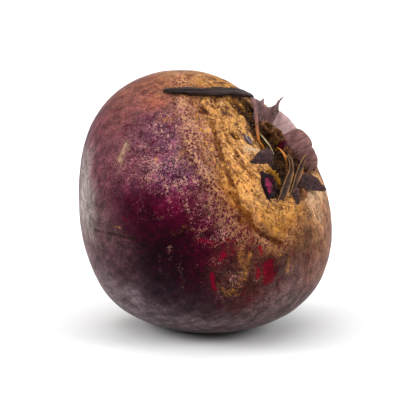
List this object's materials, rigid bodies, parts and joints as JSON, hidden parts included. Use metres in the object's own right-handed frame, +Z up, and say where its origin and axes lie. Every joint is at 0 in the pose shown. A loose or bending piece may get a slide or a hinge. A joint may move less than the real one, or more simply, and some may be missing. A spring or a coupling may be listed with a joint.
{
  "type": "beetroot",
  "caption": "Whole raw beetroot lying tilted on a small flat spot, crown up, with a trimmed tail and dried leaf-stalk remains on a corky collar.",
  "frame": {"origin": "point on the surface that it lies on, under the middle of the object's box", "axes": "+Z up, -Y towards the viewer; the crown leans up, to +X and a little towards -Y, and the cut tail points down, to -X and +Y"},
  "size_m": [0.0816, 0.0815, 0.0836],
  "materials": {
    "beet_skin": "thin dull root skin, maroon and mauve with ochre cork round the crown",
    "dry_stalk": "matt, shrivelled, brown-black",
    "mauve_sheath": "papery, mauve-grey with brown veins",
    "dark_scrap": "papery, dark purple-grey",
    "brown_scrap": "papery, dark brown with pale edges",
    "yellow_scrap": "papery, ochre yellow",
    "pale_stalk_scale": "matt, fibrous, pale mauve-grey",
    "dark_stalk_foot": "matt, rotted, dark purple-brown",
    "cut_flesh": "moist cut flesh, magenta in a dark rim",
    "corky_stub": "matt cork, grey-mauve",
    "heart_bud": "smooth, dull red",
    "straw_fibre": "dry fibre, straw",
    "amber_fibre": "dry fibre, pinkish amber"
  },
  "bodies": {
    "root": {"swollen_root": "beet_skin", "long_dry_stalk": "dry_stalk", "horned_sheath": "mauve_sheath", "left_leaf_scrap": "dark_scrap", "right_leaf_scrap": "dark_scrap", "lower_leaf_scrap": "dark_scrap", "folded_stalk_near": "brown_scrap", "folded_stalk_far": "brown_scrap", "yellow_leaf_scrap": "yellow_scrap", "pale_stalk_scale_1": "pale_stalk_scale", "pale_stalk_scale_2": "pale_stalk_scale", "pale_stalk_scale_3": "pale_stalk_scale", "dark_stalk_foot_1": "dark_stalk_foot", "dark_stalk_foot_2": "dark_stalk_foot", "fleshy_stub": "cut_flesh", "corky_stub": "corky_stub", "heart_bud": "heart_bud", "straw_fibre": "straw_fibre", "amber_fibre": "amber_fibre"}
  },
  "joints": []
}
